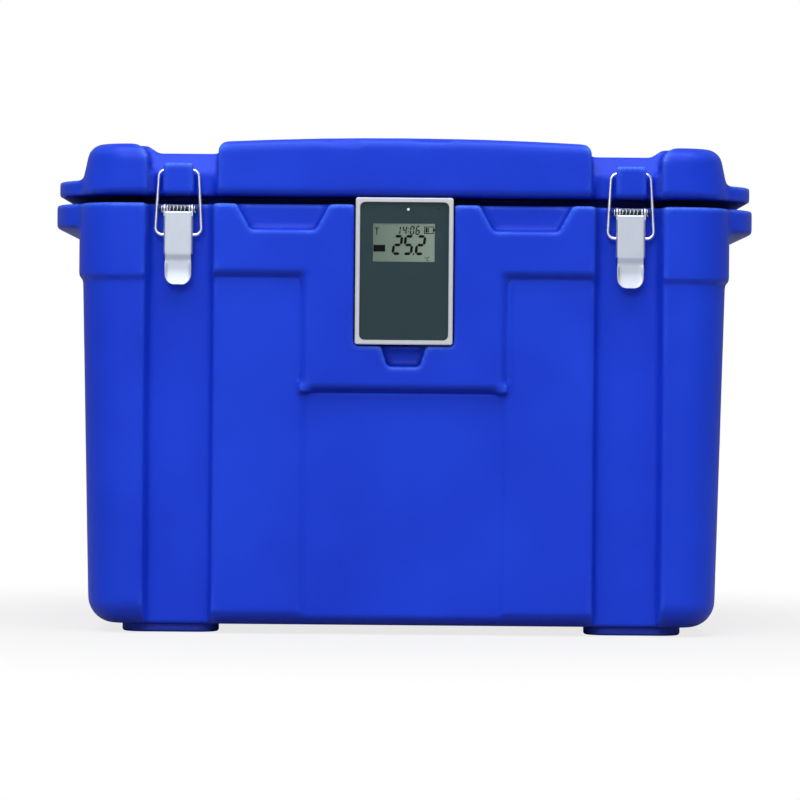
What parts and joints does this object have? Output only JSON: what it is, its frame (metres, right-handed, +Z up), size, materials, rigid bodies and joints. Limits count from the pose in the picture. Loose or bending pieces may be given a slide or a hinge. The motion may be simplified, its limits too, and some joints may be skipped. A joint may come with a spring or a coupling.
{
  "type": "vaccine carrier",
  "caption": "Insulated rotomoulded cold box for vaccines, with a hinged lid, wire toggle latches and a front temperature logger.",
  "frame": {"origin": "on the floor under the middle of the box", "axes": "+X to the box's right side seen from the front, the front faces -Y, +Z up"},
  "size_m": [0.6524, 0.43, 0.4586],
  "materials": {
    "rotomoulded_lldpe": "satin, fine moulded grain",
    "polyurethane_foam": "closed-cell foam",
    "silicone_gasket": "matt",
    "rubber_feet": "matt",
    "stainless_sheet": "fine brushed",
    "stainless_wire": "bright drawn",
    "zinc_screws": "bright zinc",
    "silver_abs": "silver paint",
    "tinted_glass": "gloss",
    "lcd_glass": "satin",
    "circuit_board": "gloss",
    "battery_cells": "gloss",
    "lamp_lens": "gloss",
    "probe_nylon": "matt",
    "probe_rubber": "matt",
    "probe_steel": "polished",
    "grey_polypropylene": "matt"
  },
  "bodies": {
    "base": {"base_shell": "rotomoulded_lldpe", "base_liner": "rotomoulded_lldpe", "liner_floor": "rotomoulded_lldpe", "bay_frame": "rotomoulded_lldpe", "front_panel": "rotomoulded_lldpe", "channel_panel_left": "rotomoulded_lldpe", "channel_panel_right": "rotomoulded_lldpe", "corner_pillar_left": "rotomoulded_lldpe", "corner_pillar_right": "rotomoulded_lldpe", "base_foam": "polyurethane_foam", "drain_plug": "grey_polypropylene", "drain_tube": "probe_nylon", "vent_cap": "grey_polypropylene", "foot_front_left": "rubber_feet", "foot_front_right": "rubber_feet", "foot_rear_left": "rubber_feet", "foot_rear_right": "rubber_feet", "foot_screws": "zinc_screws", "hinge_lower_leaf_left": "stainless_sheet", "hinge_lower_leaf_right": "stainless_sheet", "hinge_lower_screws": "zinc_screws", "hinge_pin_left": "stainless_wire", "hinge_pin_right": "stainless_wire", "latch_plate_left": "stainless_sheet", "latch_plate_right": "stainless_sheet", "latch_pin_left": "stainless_wire", "latch_pin_right": "stainless_wire", "latch_spring_left": "stainless_wire", "latch_spring_right": "stainless_wire", "latch_rivets": "zinc_screws", "probe_sleeve": "probe_nylon", "probe_grommet": "probe_rubber", "probe_sensor": "probe_steel"},
    "lid": {"lid_shell": "rotomoulded_lldpe", "lid_pan": "rotomoulded_lldpe", "lid_foam": "polyurethane_foam", "lid_gasket": "silicone_gasket", "hinge_upper_leaf_left": "stainless_sheet", "hinge_upper_leaf_right": "stainless_sheet", "hinge_upper_screws": "zinc_screws"},
    "logger": {"logger_case": "silver_abs", "logger_glass": "tinted_glass", "logger_lcd": "lcd_glass", "logger_board": "circuit_board", "logger_cells": "battery_cells", "logger_lamp": "lamp_lens", "logger_back_cover": "silver_abs", "logger_plug": "silver_abs", "logger_cover_screws": "zinc_screws"},
    "left_lever": {"latch_lever_left": "stainless_sheet"},
    "left_bail": {"latch_bail_left": "stainless_wire"},
    "right_lever": {"latch_lever_right": "stainless_sheet"},
    "right_bail": {"latch_bail_right": "stainless_wire"}
  },
  "joints": [
    {"name": "lid_hinge", "type": "hinge", "parent": "base", "child": "lid", "pos_m": [0, 0.209, 0.4005], "axis": [-1, 0, 0], "range_deg": [0, 105]},
    {"name": "logger_slide", "type": "slide", "parent": "base", "child": "logger", "axis": [0, -1, 0], "range_m": [0, 0.06]},
    {"name": "left_lever_pivot", "type": "hinge", "parent": "base", "child": "left_lever", "pos_m": [-0.209, -0.197, 0.392], "axis": [-1, 0, 0], "range_deg": [0, 110]},
    {"name": "left_bail_pivot", "type": "hinge", "parent": "left_lever", "child": "left_bail", "pos_m": [-0.209, -0.1965, 0.368], "axis": [-1, 0, 0], "range_deg": [-74.8, 0]},
    {"name": "right_lever_pivot", "type": "hinge", "parent": "base", "child": "right_lever", "pos_m": [0.209, -0.197, 0.392], "axis": [-1, 0, 0], "range_deg": [0, 110]},
    {"name": "right_bail_pivot", "type": "hinge", "parent": "right_lever", "child": "right_bail", "pos_m": [0.209, -0.1965, 0.368], "axis": [-1, 0, 0], "range_deg": [-74.8, 0]}
  ],
  "couplings": [
    {"joint": "left_bail_pivot", "follows": "left_lever_pivot", "ratio": -0.68},
    {"joint": "right_bail_pivot", "follows": "right_lever_pivot", "ratio": -0.68}
  ]
}
